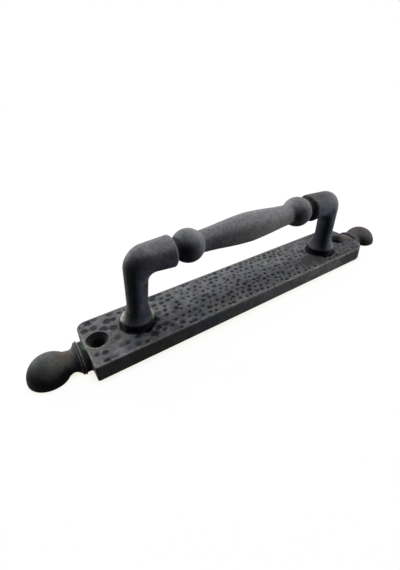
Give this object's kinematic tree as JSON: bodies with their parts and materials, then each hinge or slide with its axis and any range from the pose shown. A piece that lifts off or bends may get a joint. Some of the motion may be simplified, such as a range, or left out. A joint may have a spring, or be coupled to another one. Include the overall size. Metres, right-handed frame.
{
  "type": "door pull handle",
  "caption": "Rigid door pull: a turned grip on two posts over a long hammered plate with half-round ball finials and countersunk screw holes.",
  "frame": {"origin": "centre of the plate's flat back, which lies against the door", "axes": "+X along the plate toward the end whose screw hole stands farther in, +Z out of the door toward the hand"},
  "size_m": [0.3176, 0.044, 0.0662],
  "materials": {
    "plate_black": "black patina over a cast, hammered face",
    "handle_black": "black patina over a smooth casting",
    "screw_steel": "plain turned steel"
  },
  "bodies": {
    "root": {"backplate": "plate_black", "pull_handle": "handle_black", "fixing_screw_left": "screw_steel", "fixing_screw_right": "screw_steel"}
  },
  "joints": []
}
